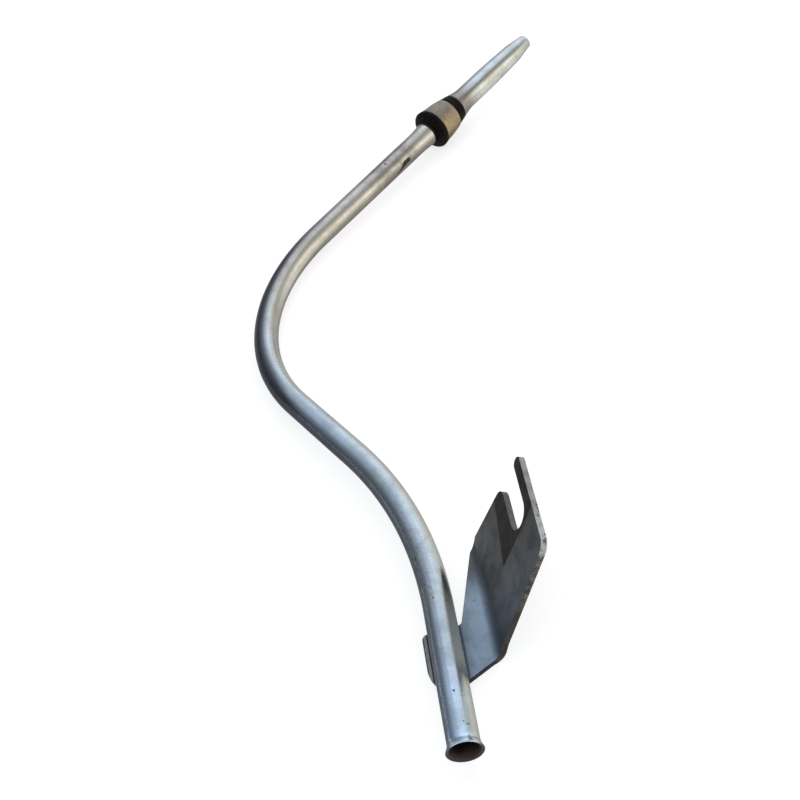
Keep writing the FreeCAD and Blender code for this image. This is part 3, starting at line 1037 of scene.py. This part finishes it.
def makeBraze():
    look = brazeLook
    material, tree, shader, _ = newMaterial("brazeSeam")
    at, cover = fromLook(tree, look, look)
    place = addNode(tree, "ShaderNodeTexCoord").outputs["Object"]
    place = stretched(tree, place, (1 / mm,) * 3)
    stain, grain = useGroup(tree, cloudyStain, {"Vector": place, "Scale": 0.5, "Low": 0.35, "High": 0.65})
    colour = cover(look["brass"], stain, "oxide")
    rough = at("rough", grain)
    finishShader(tree, shader, colour, rough, look["metallic"], stain, look["bump"])
    return material


seams = frame["nodes"]["braze_seams"]
seams.data.materials.clear()
seams.data.materials.append(makeBraze())
print("braze seams ready")

# Floor, sky and lamp, in metres
stageLook = {
    "floor": (0.45, 0.45, 0.45, 1),
    "lift": 0.75,
    "roughness": 0.95,
    "reach": 12.0,
    "drop": 0.0004,
    "segments": 64,
}


def makeFloor():
    look = stageLook
    mesh = bpy.data.meshes.new("floor")
    bm = bmesh.new()
    bmesh.ops.create_circle(bm, cap_ends=True, radius=look["reach"], segments=look["segments"])
    bm.to_mesh(mesh)
    bm.free()
    floor = bpy.data.objects.new("floor", mesh)
    bpy.context.scene.collection.objects.link(floor)
    floor.location.z = -look["drop"]
    material = bpy.data.materials.new("paleFloor")
    material.use_nodes = True
    tree = material.node_tree
    shader = tree.nodes["Principled BSDF"]
    shader.inputs["Base Color"].default_value = look["floor"]
    shader.inputs["Roughness"].default_value = look["roughness"]
    shader.inputs["Specular IOR Level"].default_value = 0.0
    shader.inputs["Emission Color"].default_value = (1, 1, 1, 1)
    rays = addNode(tree, "ShaderNodeLightPath").outputs
    seen = most(tree, rays["Is Camera Ray"], rays["Is Glossy Ray"])
    seen = most(tree, seen, rays["Is Transmission Ray"])
    tree.links.new(times(tree, seen, look["lift"]), shader.inputs["Emission Strength"])
    mesh.materials.append(material)


# Sky round the part: each soft patch is a compass angle from +Y to +X and a height in degrees,
# the angles at which it starts and is full, and its colour
skyLook = {
    "base": (0.71, 0.72, 0.72, 1),
    "upperShade": (80, 58, 36, 10, (0.46, 0.46, 0.45, 1)),
    "front": (27, 12, 32, 8, (1.42, 1.46, 1.46, 1)),
    "warmSide": (104, -3, 37, 12, (1.75, 1.67, 1.46, 1)),
    "dimSide": (-65, -5, 70, 10, (0.105, 0.126, 0.17, 1)),
    "blueTop": (-20, 50, 26, 6, (0.69, 0.77, 0.89, 1)),
}


def makeSky():
    world = bpy.data.worlds.new("softStudio")
    bpy.context.scene.world = world
    world.use_nodes = True
    tree = world.node_tree
    out = addNode(tree, "ShaderNodeTexCoord").outputs["Generated"]
    colour = skyLook["base"]
    for name in ("upperShade", "front", "warmSide", "dimSide", "blueTop"):
        compass, height, wide, narrow, patch = skyLook[name]
        level = cos(radians(height))
        towards = (sin(radians(compass)) * level, cos(radians(compass)) * level, sin(radians(height)))
        lean = vectorCalc(tree, "DOT_PRODUCT", out, towards)["Value"]
        edges = {"Value": lean, "From Min": cos(radians(wide)), "From Max": cos(radians(narrow))}
        share = addNode(tree, "ShaderNodeMapRange", edges).outputs["Result"]
        colour = blendColour(tree, share, colour, patch)
    background = tree.nodes["Background"]
    tree.links.new(colour, background.inputs["Color"])
    background.inputs["Strength"].default_value = 1.0


lampLook = {
    "place": (0.34, 0.72, 1.0),
    "target": (0, 0, 0),
    "power": 1.9,
    "size": 1.2,
    "colour": (0.92, 0.97, 1.04),
}


def addLamp():
    look = lampLook
    lamp = bpy.data.lights.new("softBox", "AREA")
    lamp.shape = "DISK"
    lamp.size = look["size"]
    lamp.energy = look["power"]
    lamp.color = look["colour"]
    holder = bpy.data.objects.new("softBox", lamp)
    holder.location = look["place"]
    aim = Vector(look["target"]) - Vector(look["place"])
    holder.rotation_euler = aim.to_track_quat("-Z", "Y").to_euler()
    bpy.context.scene.collection.objects.link(holder)


makeFloor()
makeSky()
addLamp()
print("floor, sky and lamp ready")

# Camera, placed in the tube's own axes in millimetres
cameraSizes = {
    "place": (54.2, -186.9, 316.5),
    "right": (0.9469, -0.1264, -0.2957),
    "up": (0.2996, 0.6809, 0.6683),
    "sensor": 36,
    "focalPixels": 1250.41,
    "imageWidth": 800,
    "clip": (0.01, 50),  # metres
}


def makeCamera():
    sizes = cameraSizes
    data = bpy.data.cameras.new("camera")
    data.sensor_width = sizes["sensor"]
    data.lens = sizes["sensor"] * sizes["focalPixels"] / sizes["imageWidth"]
    data.clip_start, data.clip_end = sizes["clip"]
    camera = bpy.data.objects.new("camera", data)
    right = Vector(sizes["right"]).normalized()
    back = right.cross(Vector(sizes["up"])).normalized()
    up = back.cross(right)
    turn = turnToPart @ Matrix((right, up, back)).transposed()
    camera.matrix_world = Matrix.Translation(toPart @ Vector(sizes["place"])) @ turn.to_4x4()
    bpy.context.scene.collection.objects.link(camera)
    bpy.context.scene.camera = camera


makeCamera()
bpy.context.scene.view_settings.view_transform = "Standard"
bpy.context.view_layer.update()
print("camera and sizes ready")
